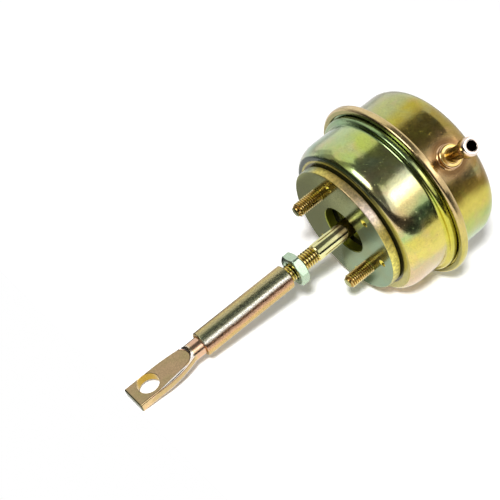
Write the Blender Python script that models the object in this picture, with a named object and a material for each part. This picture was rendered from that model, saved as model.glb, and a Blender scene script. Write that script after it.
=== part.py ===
"""Wastegate actuator: two drawn cans rolled together over a diaphragm, whose sprung piston
pushes a rod through the mounting plate to a flattened, adjustable rod end.

X runs along the rod, from the cans towards the rod end. The origin is the centre of the
mounting plate's front face, and Z is square to the flat of the rod end. Metres throughout.
"""

import math

import bmesh
import bpy
from mathutils import Matrix, Vector

MM = 0.001

# Clearances between pieces that touch on the real object
GAP = 0.3 * MM
SEAM_GAP = 0.2 * MM
SLIDE_GAP = 0.15 * MM
THREAD_GAP = 0.3 * MM

# Directions round the rod, from +Y towards +Z
STUD_ANGLE = math.radians(135)
NIPPLE_ANGLE = math.radians(47)
NUT_FLAT_ANGLE = math.radians(45)

# Mounting plate, with its weld dimples and the nubs that they raise behind it
PLATE_RADIUS = 29.2 * MM
PLATE_THICKNESS = 4.0 * MM
PLATE_HOLE_RADIUS = 11.0 * MM
PLATE_EDGE = 0.35 * MM
PLATE_STANDOFF = 1.0 * MM
DIMPLE_CIRCLE = 22.7 * MM
DIMPLE_RADIUS = 1.3 * MM
DIMPLE_DEPTH = 0.9 * MM
NUB_RADIUS = 2.0 * MM
DIMPLE_ANGLES = [math.radians(a) for a in (36, 90, 144, 216, 270, 324)]

# Weld studs
STUD_SPACING = 36.0 * MM
STUD_RADIUS = 3.0 * MM
STUD_LENGTH = 12.2 * MM
STUD_CHAMFER = 0.7 * MM
STUD_HEAD_RADIUS = 4.4 * MM
STUD_HEAD_THICKNESS = 1.4 * MM

# Drawn cans and their rolled seam
SHEET = 0.8 * MM
CAN_RADIUS = 35.8 * MM
SHOULDER_LENGTH = 7.6 * MM
SHOULDER_DROP = 3.6 * MM
FRONT_CAN_LENGTH = 22.6 * MM
STEP_BEND = 1.2 * MM
STEP_LENGTH = 2.6 * MM
SEAM_HEIGHT = 5.7 * MM
SEAM_BEND = 1.2 * MM
SEAM_INSET = 0.4 * MM
REAR_CAN_LENGTH = 24.0 * MM
REAR_CORNER = 8.3 * MM
REAR_BEND = 1.0 * MM

# Hose nipple, with heights measured from the rear can's wall
NIPPLE_SETBACK = 10.1 * MM
NIPPLE_BORE_RADIUS = 2.15 * MM
NIPPLE_STEM_RADIUS = 2.8 * MM
NIPPLE_COLLAR_RADIUS = 5.2 * MM
NIPPLE_COLLAR_THICKNESS = 2.0 * MM
NIPPLE_LENGTH = 20.2 * MM
NIPPLE_BARB_RADIUS = 4.1 * MM
NIPPLE_BARB_LENGTH = 5.8 * MM
NIPPLE_LIP_RADIUS = 3.3 * MM
NIPPLE_TAIL = 1.6 * MM

# Diaphragm and piston
FABRIC = 0.5 * MM
PISTON_INSET = 6.0 * MM
PISTON_SHEET = 1.0 * MM
PISTON_CORNER = 2.6 * MM
PISTON_DEPTH = 18.0 * MM
RETAINER_THICKNESS = 1.0 * MM
WALL_GAP = 0.4 * MM

# Return spring and its seat
WIRE_RADIUS = 1.4 * MM
SPRING_INSET = 8.8 * MM
ACTIVE_TURNS = 4.5
DEAD_TURNS = 1
DEAD_PITCH = 3.1 * MM
SEAT_SHEET = 0.8 * MM
SEAT_LIP = 3.0 * MM
SEAT_BEND = 1.5 * MM

# Guide bush, rod seal and washers
BUSH_RADIUS = 6.5 * MM
BUSH_LENGTH = 8.5 * MM
BUSH_FLANGE_RADIUS = 9.0 * MM
BUSH_FLANGE_THICKNESS = 1.6 * MM
SEAL_RADIUS = 5.6 * MM
SEAL_THICKNESS = 1.6 * MM
SEAL_WASHER_THICKNESS = 0.6 * MM
WASHER_RADIUS = 8.0 * MM
WASHER_THICKNESS = 1.2 * MM

# Rod
ROD_RADIUS = 3.85 * MM
ROD_TAIL_RADIUS = 3.0 * MM
ROD_HEAD_RADIUS = 5.5 * MM
ROD_HEAD_THICKNESS = 1.4 * MM
ROD_SMOOTH_END = 15.8 * MM
THREAD_RELIEF = 0.1 * MM
ROD_CHAMFER = 0.8 * MM
ROD_REACH_IN_SLEEVE = 24.0 * MM

# Lock nut
NUT_START = 24.2 * MM
NUT_THICKNESS = 4.2 * MM
NUT_FLATS = 13.0 * MM
NUT_CHAMFER_ANGLE = math.radians(30)

# Adjuster sleeve
SLEEVE_START = 31.4 * MM
SLEEVE_LENGTH = 44.8 * MM
SLEEVE_RADIUS = 5.4 * MM
SLEEVE_CHAMFER = 0.6 * MM

# Rod end, flattened from round bar
ROD_END_RADIUS = 3.85 * MM
ROD_END_REACH_IN_SLEEVE = 14.0 * MM
NECK_LENGTH = 4.6 * MM
BLADE_LENGTH = 29.7 * MM
BLADE_THICKNESS = 4.2 * MM
BLADE_HALF_WIDTH = 6.0 * MM
BLADE_OFFSET = 0.75 * MM
BLADE_BULGE = 4.8 * MM
BLADE_SPREAD_LENGTH = 16.0 * MM
EYE_RADIUS = 4.6 * MM
EYE_TO_END = 8.4 * MM

# The jaws that flatten it, whose noses are rounded in plan and at their edge
JAW_NOSE = 7.0 * MM
JAW_EDGE = 2.0 * MM
JAW_STEPS = 12
JAW_EDGE_STEPS = 3

# Facets round each kind of turned piece
CAN_STEPS = 36
SMALL_STEPS = 24
SPRING_STEPS = 16
WIRE_STEPS = 6
DIMPLE_STEPS = 10

# Places along the rod that several pieces share
PLATE_BACK = -PLATE_THICKNESS
CAN_FACE = PLATE_BACK - PLATE_STANDOFF
CAN_INSIDE = CAN_FACE - SHEET
FRONT_FLANGE = CAN_FACE - FRONT_CAN_LENGTH
LIP_FACE = FRONT_FLANGE + SEAM_GAP + SHEET
RIM_FACE = FRONT_FLANGE - SHEET - SEAM_GAP
REAR_FLANGE = RIM_FACE - FABRIC - SEAM_GAP
REAR_FLANGE_BACK = REAR_FLANGE - SHEET
REAR_END = REAR_FLANGE_BACK - REAR_CAN_LENGTH
REAR_INSIDE = REAR_END + SHEET
STEP_RADIUS = CAN_RADIUS + 2 * STEP_BEND
SEAM_RADIUS = CAN_RADIUS + SEAM_HEIGHT
STEP_FOOT = FRONT_FLANGE + STEP_LENGTH + 2 * STEP_BEND
SEAM_INSIDE = SEAM_RADIUS - SHEET
RIM_RADIUS = SEAM_INSIDE - SEAM_INSET
PISTON_RADIUS = CAN_RADIUS - PISTON_INSET
SPRING_RADIUS = PISTON_RADIUS - SPRING_INSET
RETAINER_RADIUS = SPRING_RADIUS - WIRE_RADIUS / 2

# The stack on the rod's tail, from the riveted head forwards
HEAD_BACK = REAR_INSIDE + GAP
HEAD_FRONT = HEAD_BACK + ROD_HEAD_THICKNESS
RETAINER_BACK = HEAD_FRONT + GAP
RETAINER_FRONT = RETAINER_BACK + RETAINER_THICKNESS
CROWN_BACK = RETAINER_FRONT + GAP
CROWN_FRONT = CROWN_BACK + FABRIC
PISTON_BACK = CROWN_FRONT + GAP
PISTON_FRONT = PISTON_BACK + PISTON_SHEET
WASHER_BACK = PISTON_FRONT + GAP
WASHER_FRONT = WASHER_BACK + WASHER_THICKNESS
SHOULDER = WASHER_FRONT + GAP
TAIL_HOLE_RADIUS = ROD_TAIL_RADIUS + GAP

# The guide at the front can's hole
CAN_HOLE_RADIUS = BUSH_RADIUS + GAP
BUSH_FLANGE_FRONT = CAN_INSIDE - GAP
BUSH_FLANGE_BACK = BUSH_FLANGE_FRONT - BUSH_FLANGE_THICKNESS
BUSH_BORE_RADIUS = ROD_RADIUS + SLIDE_GAP
SEAL_WASHER_BACK = CAN_FACE - SEAL_WASHER_THICKNESS
SEAL_FRONT = SEAL_WASHER_BACK - GAP
SEAL_BACK = SEAL_FRONT - SEAL_THICKNESS
SEAL_RECESS = SEAL_BACK - GAP
SEAT_FRONT = CAN_INSIDE - GAP
SEAT_BACK = SEAT_FRONT - SEAT_SHEET

# The sleeve and what it holds
SLEEVE_END = SLEEVE_START + SLEEVE_LENGTH
THREAD_BORE_RADIUS = ROD_RADIUS + THREAD_GAP
BLADE_START = SLEEVE_END + NECK_LENGTH
BLADE_END = BLADE_START + BLADE_LENGTH
EYE_X = BLADE_END - EYE_TO_END


def arc(centre, radii, start, end, steps):
    """Points of an elliptical arc in the (x, r) plane, with angles in degrees from +x."""
    angles = [math.radians(start + (end - start) * k / steps) for k in range(steps + 1)]
    return [(centre[0] + radii[0] * math.cos(a), centre[1] + radii[1] * math.sin(a)) for a in angles]


def offset(path, distance):
    """The path moved sideways by distance, to its left where that is positive."""
    moved = []
    for k, point in enumerate(path):
        before = Vector(path[max(k - 1, 0)])
        after = Vector(path[min(k + 1, len(path) - 1)])
        here = Vector(point)
        first = (here - before).normalized() if k else (after - here).normalized()
        last = (after - here).normalized() if k < len(path) - 1 else first
        middle = (first + last).normalized()
        left = Vector((-middle.y, middle.x))
        moved.append(tuple(here + left * distance / middle.dot(first)))
    return moved


def sheet_section(path, thickness):
    """A closed section of sheet: the path, and back along the path moved to its left."""
    return path + offset(path, thickness)[::-1]


def new_object(name, mesh_data, material):
    mesh = bpy.data.meshes.new(name)
    bmesh.ops.remove_doubles(mesh_data, verts=mesh_data.verts, dist=1e-7)
    bmesh.ops.recalc_face_normals(mesh_data, faces=mesh_data.faces)
    mesh_data.to_mesh(mesh)
    mesh_data.free()
    mesh.materials.append(material)
    obj = bpy.data.objects.new(name, mesh)
    bpy.context.scene.collection.objects.link(obj)
    mesh.shade_smooth()
    mesh.set_sharp_from_angle(angle=math.radians(35))
    return obj


def turned(name, section, material, steps=CAN_STEPS, centre=(0, 0, 0)):
    """A closed section of (x, r) points spun round the X axis. Its edge on the axis may be left open."""
    bm = bmesh.new()
    verts = [bm.verts.new((x, 0, r)) for x, r in section]
    on_axis = [r < 1e-9 for _, r in section]
    edges = []
    for k, vert in enumerate(verts):
        following = (k + 1) % len(verts)
        if not (on_axis[k] and on_axis[following]):
            edges.append(bm.edges.new((vert, verts[following])))
    bmesh.ops.spin(
        bm, geom=verts + edges, cent=(0, 0, 0), axis=(1, 0, 0), angle=2 * math.pi, steps=steps, use_merge=True
    )
    bmesh.ops.translate(bm, verts=bm.verts, vec=centre)
    return new_object(name, bm, material)


def cutter(name, obj_data):
    """A helper for a Boolean, which isn't part of the object."""
    obj = new_object(name, obj_data, helper_material)
    obj.hide_render = True
    obj.display_type = "WIRE"
    return obj


def cylinder_cutter(name, radius, start, end, steps=SMALL_STEPS, end_radius=None):
    """A plain or tapered cylinder from start to end, for cutting."""
    start, end = Vector(start), Vector(end)
    bm = bmesh.new()
    bmesh.ops.create_cone(
        bm,
        cap_ends=True,
        segments=steps,
        radius1=radius,
        radius2=radius if end_radius is None else end_radius,
        depth=(end - start).length,
    )
    turn = (end - start).to_track_quat("Z", "Y").to_matrix().to_4x4()
    bmesh.ops.transform(bm, matrix=Matrix.Translation((start + end) / 2) @ turn, verts=bm.verts)
    return cutter(name, bm)


def boolean(obj, other, operation="DIFFERENCE"):
    modifier = obj.modifiers.new(other.name, "BOOLEAN")
    modifier.operation = operation
    modifier.solver = "EXACT"
    modifier.object = other


def around(radius, angle, x=0.0):
    """The point at this radius and angle round the rod."""
    return Vector((x, radius * math.cos(angle), radius * math.sin(angle)))


def material(name, colour, metallic, roughness):
    made = bpy.data.materials.new(name)
    made.use_nodes = True
    shader = made.node_tree.nodes["Principled BSDF"]
    shader.inputs["Base Color"].default_value = (*colour, 1)
    shader.inputs["Metallic"].default_value = metallic
    shader.inputs["Roughness"].default_value = roughness
    made.diffuse_color = (*colour, 1)
    return made


def make_front_can(finish):
    """The rod side: a drawn cup with a stepped mouth, whose flange the rear can's lip holds."""
    shoulder_corner = (CAN_FACE - SHOULDER_LENGTH, CAN_RADIUS - SHOULDER_DROP)
    path = [(CAN_FACE, CAN_HOLE_RADIUS)]
    path += arc(shoulder_corner, (SHOULDER_LENGTH, SHOULDER_DROP), 0, 90, 7)
    path += arc((STEP_FOOT, CAN_RADIUS + STEP_BEND), (STEP_BEND, STEP_BEND), 270, 180, 3)
    path += arc((STEP_FOOT - 2 * STEP_BEND, CAN_RADIUS + STEP_BEND), (STEP_BEND, STEP_BEND), 0, 90, 3)[1:]
    path += [(FRONT_FLANGE, STEP_RADIUS), (FRONT_FLANGE, RIM_RADIUS)]
    return turned("front_can", sheet_section(path, SHEET), finish)


def make_rear_can(finish):
    """The pressure side: a drawn cup whose flange is rolled over the front can's."""
    corner = (REAR_END + REAR_CORNER, CAN_RADIUS - REAR_CORNER)
    path = [(REAR_END, 0)]
    path += arc(corner, (REAR_CORNER, REAR_CORNER), 180, 90, 6)
    bend = (REAR_FLANGE_BACK - REAR_BEND, CAN_RADIUS + REAR_BEND)
    path += arc(bend, (REAR_BEND, REAR_BEND), 270, 360, 3)
    path += arc((REAR_FLANGE_BACK + SEAM_BEND, SEAM_RADIUS - SEAM_BEND), (SEAM_BEND, SEAM_BEND), 180, 90, 3)
    path += arc((LIP_FACE - SEAM_BEND, SEAM_RADIUS - SEAM_BEND), (SEAM_BEND, SEAM_BEND), 90, 0, 3)
    path += [(LIP_FACE, STEP_RADIUS + GAP)]
    can = turned("rear_can", sheet_section(path, -SHEET), finish)
    nipple_x = REAR_FLANGE_BACK - NIPPLE_SETBACK
    hole = cylinder_cutter(
        "nipple_hole_cutter",
        NIPPLE_STEM_RADIUS + GAP,
        around(CAN_RADIUS - 3 * SHEET - NIPPLE_TAIL, NIPPLE_ANGLE, nipple_x),
        around(CAN_RADIUS + 3 * SHEET, NIPPLE_ANGLE, nipple_x),
    )
    boolean(can, hole)
    return can


def make_mounting_plate(finish):
    """A blanked disc, welded to the front can at six dimples that stand it off by a small gap."""
    inner, outer, edge = PLATE_HOLE_RADIUS, PLATE_RADIUS, PLATE_EDGE
    section = [
        (0, inner + edge),
        (0, outer - edge),
        (-edge, outer),
        (PLATE_BACK + edge, outer),
        (PLATE_BACK, outer - edge),
        (PLATE_BACK, inner),
        (-edge, inner),
    ]
    plate = turned("mounting_plate", section, finish)
    for k, turn in enumerate(DIMPLE_ANGLES):
        angle = STUD_ANGLE + turn
        nub = cylinder_cutter(
            f"nub_{k}",
            NUB_RADIUS,
            around(DIMPLE_CIRCLE, angle, PLATE_BACK + PLATE_THICKNESS / 4),
            around(DIMPLE_CIRCLE, angle, CAN_FACE + GAP),
            steps=DIMPLE_STEPS,
            end_radius=NUB_RADIUS / 2,
        )
        boolean(plate, nub, "UNION")
        dimple = cylinder_cutter(
            f"dimple_cutter_{k}",
            DIMPLE_RADIUS / 3,
            around(DIMPLE_CIRCLE, angle, -DIMPLE_DEPTH),
            around(DIMPLE_CIRCLE, angle, DIMPLE_DEPTH / 3),
            steps=DIMPLE_STEPS,
            end_radius=DIMPLE_RADIUS * 11 / 9,
        )
        boolean(plate, dimple)
    for k, side in enumerate((1, -1)):
        place = STUD_SPACING / 2 * side
        hole = cylinder_cutter(
            f"stud_hole_cutter_{k}",
            STUD_RADIUS + GAP,
            around(place, STUD_ANGLE, PLATE_BACK - PLATE_THICKNESS),
            around(place, STUD_ANGLE, PLATE_THICKNESS),
        )
        boolean(plate, hole)
        counterbore = cylinder_cutter(
            f"stud_head_cutter_{k}",
            STUD_HEAD_RADIUS + GAP,
            around(place, STUD_ANGLE, PLATE_BACK - PLATE_THICKNESS),
            around(place, STUD_ANGLE, PLATE_BACK + STUD_HEAD_THICKNESS + GAP),
        )
        boolean(plate, counterbore)
    return plate


def make_stud(name, side, finish):
    """A headed stud pressed through the plate from behind."""
    section = [
        (PLATE_BACK, 0),
        (PLATE_BACK, STUD_HEAD_RADIUS),
        (PLATE_BACK + STUD_HEAD_THICKNESS, STUD_HEAD_RADIUS),
        (PLATE_BACK + STUD_HEAD_THICKNESS, STUD_RADIUS),
        (STUD_LENGTH - STUD_CHAMFER, STUD_RADIUS),
        (STUD_LENGTH, STUD_RADIUS - STUD_CHAMFER),
        (STUD_LENGTH, 0),
    ]
    return turned(name, section, finish, SMALL_STEPS, around(STUD_SPACING / 2 * side, STUD_ANGLE))


def make_hose_nipple(finish):
    """A turned nipple through the rear can's side, with a collar outside and a rounded barb."""
    stem, bore, lip, barb = NIPPLE_STEM_RADIUS, NIPPLE_BORE_RADIUS, NIPPLE_LIP_RADIUS, NIPPLE_BARB_RADIUS
    collar_top = GAP + NIPPLE_COLLAR_THICKNESS
    collar_bend = NIPPLE_COLLAR_THICKNESS / 2
    barb_foot = NIPPLE_LENGTH - NIPPLE_BARB_LENGTH
    barb_rise = barb - stem
    nose = NIPPLE_LENGTH - barb_foot - 2 * barb_rise
    section = [(-SHEET - NIPPLE_TAIL, bore), (-SHEET - NIPPLE_TAIL, stem), (GAP, stem)]
    section += [(GAP, NIPPLE_COLLAR_RADIUS - collar_bend / 2)]
    section += arc((collar_top - collar_bend, NIPPLE_COLLAR_RADIUS - collar_bend), (collar_bend,) * 2, 90, 0, 3)
    section += [(collar_top, stem), (barb_foot, stem)]
    section += arc((barb_foot + barb_rise, stem), (barb_rise, barb_rise), 180, 90, 3)[1:]
    section += [(barb_foot + 2 * barb_rise, barb)]
    section += arc((NIPPLE_LENGTH - nose, lip), (nose, barb - lip), 90, 0, 3)[1:]
    section += [(NIPPLE_LENGTH, bore)]
    nipple = turned("hose_nipple", section, finish, SMALL_STEPS)
    direction = around(1, NIPPLE_ANGLE)
    nipple.rotation_mode = "QUATERNION"
    nipple.rotation_quaternion = direction.to_track_quat("X", "Z")
    nipple.location = around(CAN_RADIUS, NIPPLE_ANGLE, REAR_FLANGE_BACK - NIPPLE_SETBACK)
    return nipple


def make_diaphragm(finish):
    """Fabric-backed rubber: a clamped rim, one convolution, and a hat over the piston."""
    wall = STEP_RADIUS - SHEET - WALL_GAP
    hat = PISTON_RADIUS + GAP
    middle, half = (wall + hat) / 2, (wall - hat) / 2
    bend = RIM_FACE + WALL_GAP
    corner = PISTON_CORNER + GAP
    path = [(RIM_FACE, RIM_RADIUS)]
    path += arc((bend, wall + WALL_GAP), (WALL_GAP, WALL_GAP), 180, 270, 1)
    path += arc((bend + WALL_GAP, middle), (half, half), 90, -90, 7)
    path += arc((CROWN_FRONT + corner, hat - corner), (corner, corner), 90, 180, 3)
    path += [(CROWN_FRONT, TAIL_HOLE_RADIUS)]
    return turned("diaphragm", sheet_section(path, -FABRIC), finish)


def make_piston_cup(finish):
    """A pressed cup that carries the diaphragm and holds the rear end of the spring."""
    inner = PISTON_RADIUS - PISTON_CORNER
    path = [(PISTON_BACK, TAIL_HOLE_RADIUS)]
    path += arc((PISTON_BACK + PISTON_CORNER, inner), (PISTON_CORNER, PISTON_CORNER), 180, 90, 3)
    path += [(PISTON_BACK + PISTON_DEPTH, PISTON_RADIUS)]
    return turned("piston_cup", sheet_section(path, -PISTON_SHEET), finish)


def washer(name, back, front, inner, outer, finish, steps=SMALL_STEPS):
    section = [(back, inner), (back, outer), (front, outer), (front, inner)]
    return turned(name, section, finish, steps)


def make_return_spring(finish):
    """A round-wire coil between the piston cup and its seat, with a dead turn at each end."""
    start = PISTON_FRONT + GAP + WIRE_RADIUS
    end = SEAT_BACK - GAP - WIRE_RADIUS
    pitch = (end - start - 2 * DEAD_TURNS * DEAD_PITCH) / ACTIVE_TURNS
    turns = 2 * DEAD_TURNS + ACTIVE_TURNS
    count = round(turns * SPRING_STEPS)
    bm = bmesh.new()
    rings = []
    for k in range(count + 1):
        turn = turns * k / count
        first = min(turn, DEAD_TURNS)
        last = max(turn - DEAD_TURNS - ACTIVE_TURNS, 0)
        x = start + (first + last) * DEAD_PITCH + (turn - first - last) * pitch
        angle = 2 * math.pi * turn
        outward = around(1, angle)
        centre = around(SPRING_RADIUS, angle, x)
        ring = []
        for j in range(WIRE_STEPS):
            a = 2 * math.pi * j / WIRE_STEPS
            across = outward * math.cos(a) + Vector((1, 0, 0)) * math.sin(a)
            ring.append(bm.verts.new(centre + across * WIRE_RADIUS))
        rings.append(ring)
    for one, two in zip(rings, rings[1:]):
        for j in range(WIRE_STEPS):
            following = (j + 1) % WIRE_STEPS
            bm.faces.new((one[j], one[following], two[following], two[j]))
    bm.faces.new(rings[0])
    bm.faces.new(rings[-1])
    return new_object("return_spring", bm, finish)


def make_spring_seat(finish):
    """A pressed ring that traps the bush's flange and centres the spring from outside."""
    inner_step = BUSH_FLANGE_BACK - GAP
    lip_radius = SPRING_RADIUS + WIRE_RADIUS + GAP + SEAT_SHEET
    path = [(inner_step, BUSH_RADIUS + GAP), (inner_step, BUSH_FLANGE_RADIUS + GAP + SEAT_SHEET)]
    path += [(SEAT_FRONT, BUSH_FLANGE_RADIUS + 3 * SEAT_SHEET)]
    path += arc((SEAT_FRONT - SEAT_BEND, lip_radius - SEAT_BEND), (SEAT_BEND, SEAT_BEND), 0, 90, 2)
    path += [(SEAT_FRONT - SEAT_BEND - SEAT_LIP, lip_radius)]
    return turned("spring_seat", sheet_section(path, SEAT_SHEET), finish)


def make_guide_bush(finish):
    """The rod's bearing: a flanged bush in the front can's hole, recessed for the seal."""
    section = [
        (CAN_FACE, SEAL_RADIUS + GAP),
        (CAN_FACE, BUSH_RADIUS),
        (BUSH_FLANGE_FRONT, BUSH_RADIUS),
        (BUSH_FLANGE_FRONT, BUSH_FLANGE_RADIUS),
        (BUSH_FLANGE_BACK, BUSH_FLANGE_RADIUS),
        (BUSH_FLANGE_BACK, BUSH_RADIUS),
        (CAN_FACE - BUSH_LENGTH, BUSH_RADIUS),
        (CAN_FACE - BUSH_LENGTH, BUSH_BORE_RADIUS),
        (SEAL_RECESS, BUSH_BORE_RADIUS),
        (SEAL_RECESS, SEAL_RADIUS + GAP),
    ]
    return turned("guide_bush", section, finish, SMALL_STEPS)


def make_rod(finish):
    """Shouldered bar: a riveted tail through the piston, a smooth shank and a threaded front."""
    front = SLEEVE_START + ROD_REACH_IN_SLEEVE
    thread = ROD_RADIUS - THREAD_RELIEF
    section = [
        (HEAD_BACK, 0),
        (HEAD_BACK, ROD_HEAD_RADIUS - ROD_HEAD_THICKNESS / 2),
        (HEAD_BACK + ROD_HEAD_THICKNESS / 2, ROD_HEAD_RADIUS),
        (HEAD_FRONT, ROD_HEAD_RADIUS),
        (HEAD_FRONT, ROD_TAIL_RADIUS),
        (SHOULDER, ROD_TAIL_RADIUS),
        (SHOULDER, ROD_RADIUS),
        (ROD_SMOOTH_END, ROD_RADIUS),
        (ROD_SMOOTH_END + THREAD_RELIEF, thread),
        (front - ROD_CHAMFER, thread),
        (front, thread - ROD_CHAMFER),
        (front, 0),
    ]
    return turned("actuator_rod", section, finish, SMALL_STEPS)


def make_lock_nut(finish):
    """A thin hexagon nut with chamfered corners on both faces."""
    corner = NUT_FLATS / math.sqrt(3)
    flat = NUT_FLATS / 2
    chamfer = (corner - flat) * math.tan(NUT_CHAMFER_ANGLE)
    bore = THREAD_BORE_RADIUS
    start, end = NUT_START, NUT_START + NUT_THICKNESS
    mouth = ROD_RADIUS + 2 * THREAD_GAP
    section = [
        (start, mouth),
        (start, flat),
        (start + chamfer, corner),
        (end - chamfer, corner),
        (end, flat),
        (end, mouth),
        (end - mouth + bore, bore),
        (start + mouth - bore, bore),
    ]
    nut = turned("lock_nut", section, finish, SMALL_STEPS)
    bm = bmesh.new()
    bmesh.ops.create_cone(
        bm, cap_ends=True, segments=6, radius1=corner, radius2=corner, depth=NUT_THICKNESS * 2
    )
    quarter = Matrix.Rotation(math.radians(90), 4, "Y")
    turn = Matrix.Rotation(NUT_FLAT_ANGLE, 4, "X")
    place = Matrix.Translation(((start + end) / 2, 0, 0))
    bmesh.ops.transform(bm, matrix=place @ turn @ quarter, verts=bm.verts)
    boolean(nut, cutter("nut_hexagon", bm), "INTERSECT")
    return nut


def make_adjuster_sleeve(finish):
    """A plain tube, threaded through, that joins the rod to the rod end."""
    start, end, bore, outer = SLEEVE_START, SLEEVE_END, THREAD_BORE_RADIUS, SLEEVE_RADIUS
    section = [
        (start, bore),
        (start, outer - SLEEVE_CHAMFER),
        (start + SLEEVE_CHAMFER, outer),
        (end - SLEEVE_CHAMFER, outer),
        (end, outer - SLEEVE_CHAMFER),
        (end, bore),
    ]
    return turned("adjuster_sleeve", section, finish, SMALL_STEPS)


def make_rod_end(finish):
    """Round bar spread sideways between flat jaws, with an eye through the flat."""
    bm = bmesh.new()
    points = SMALL_STEPS + 8
    spread_steps = 6
    spread_start = BLADE_START + JAW_EDGE / 2
    stations = [(SLEEVE_END - ROD_END_REACH_IN_SLEEVE, 0.0), (spread_start, 0.0)]
    for k in range(1, spread_steps + 1):
        part = k / spread_steps
        stations.append((spread_start + BLADE_SPREAD_LENGTH * part, 1 - (1 - part) ** 2))
    stations.append((BLADE_END, 1.0))
    rings = []
    for x, spread in stations:
        half_width = ROD_END_RADIUS + (BLADE_HALF_WIDTH - ROD_END_RADIUS) * spread
        half_height = ROD_END_RADIUS + (BLADE_BULGE - ROD_END_RADIUS) * spread
        ring = []
        for j in range(points):
            a = 2 * math.pi * j / points
            y = BLADE_OFFSET * spread + half_width * math.cos(a)
            ring.append(bm.verts.new((x, y, half_height * math.sin(a))))
        rings.append(ring)
    for one, two in zip(rings, rings[1:]):
        for j in range(points):
            following = (j + 1) % points
            bm.faces.new((one[j], one[following], two[following], two[j]))
    bm.faces.new(rings[0])
    bm.faces.new(rings[-1])
    rod_end = new_object("rod_end", bm, finish)
    for name, side in (("upper_jaw", 1), ("lower_jaw", -1)):
        boolean(rod_end, make_jaw(name, side))
    eye = cylinder_cutter(
        "eye_cutter", EYE_RADIUS, (EYE_X, 0, -BLADE_THICKNESS), (EYE_X, 0, BLADE_THICKNESS), SMALL_STEPS + 8
    )
    boolean(rod_end, eye)
    return rod_end


def make_jaw(name, side):
    """The shape that one flattening jaw takes away: a flat with a half-oval nose and a rounded edge."""
    flat = BLADE_THICKNESS / 2
    middle_x, middle_y = BLADE_START + JAW_EDGE + JAW_NOSE, BLADE_OFFSET / 2
    half_width = BLADE_HALF_WIDTH
    levels = []
    for k in range(JAW_EDGE_STEPS + 1):
        turn = math.pi / 2 * k / JAW_EDGE_STEPS
        levels.append((flat + JAW_EDGE * (1 - math.cos(turn)), JAW_EDGE * math.sin(turn)))
    levels.append((flat + 2 * BLADE_BULGE, JAW_EDGE))
    bm = bmesh.new()
    rings = []
    for height, outset in levels:
        width = half_width + outset
        outline = [(BLADE_END + BLADE_THICKNESS, middle_y - width)]
        for k in range(JAW_STEPS + 1):
            a = math.pi * (k / JAW_STEPS - 0.5)
            outline.append((middle_x - (JAW_NOSE + outset) * math.cos(a), middle_y + width * math.sin(a)))
        outline.append((BLADE_END + BLADE_THICKNESS, middle_y + width))
        rings.append([bm.verts.new((x, y, height * side)) for x, y in outline])
    for one, two in zip(rings, rings[1:]):
        for j in range(len(one)):
            following = (j + 1) % len(one)
            bm.faces.new((one[j], one[following], two[following], two[j]))
    bm.faces.new(rings[0])
    bm.faces.new(rings[-1])
    return cutter(name, bm)


for old in list(bpy.data.objects):
    bpy.data.objects.remove(old, do_unlink=True)

helper_material = material("helper", (0.5, 0.5, 0.5), 0, 0.5)
yellow_zinc = material("yellow_zinc", (0.62, 0.58, 0.30), 1, 0.28)
plate_zinc = material("plate_zinc", (0.52, 0.55, 0.36), 1, 0.35)
stud_zinc = material("stud_zinc", (0.66, 0.52, 0.22), 1, 0.30)
clear_zinc = material("clear_zinc", (0.74, 0.82, 0.72), 1, 0.35)
spring_steel = material("spring_steel", (0.36, 0.36, 0.38), 1, 0.40)
rubber = material("rubber", (0.05, 0.05, 0.05), 0, 0.70)
bush_bronze = material("bush_bronze", (0.45, 0.33, 0.18), 1, 0.50)
seal_plastic = material("seal_plastic", (0.10, 0.10, 0.10), 0, 0.55)

make_front_can(yellow_zinc)
make_rear_can(yellow_zinc)
make_mounting_plate(plate_zinc)
make_stud("stud_upper", 1, stud_zinc)
make_stud("stud_lower", -1, stud_zinc)
make_hose_nipple(yellow_zinc)
make_diaphragm(rubber)
make_piston_cup(spring_steel)
washer("diaphragm_retainer", RETAINER_BACK, RETAINER_FRONT, TAIL_HOLE_RADIUS, RETAINER_RADIUS, spring_steel)
washer("shoulder_washer", WASHER_BACK, WASHER_FRONT, TAIL_HOLE_RADIUS, WASHER_RADIUS, spring_steel)
make_return_spring(spring_steel)
make_spring_seat(spring_steel)
make_guide_bush(bush_bronze)
washer("rod_seal", SEAL_BACK, SEAL_FRONT, BUSH_BORE_RADIUS, SEAL_RADIUS, seal_plastic)
washer("seal_washer", SEAL_WASHER_BACK, CAN_FACE, ROD_RADIUS + GAP, SEAL_RADIUS, spring_steel)
make_rod(yellow_zinc)
make_lock_nut(clear_zinc)
make_adjuster_sleeve(yellow_zinc)
make_rod_end(yellow_zinc)
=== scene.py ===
"""The wastegate actuator's looks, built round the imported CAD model.

Positions are in the model's own frame, in metres: X along the rod, Z square to the rod end's flat.
"""

import math

import bmesh
import bpy
from mathutils import Matrix, Vector


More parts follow.
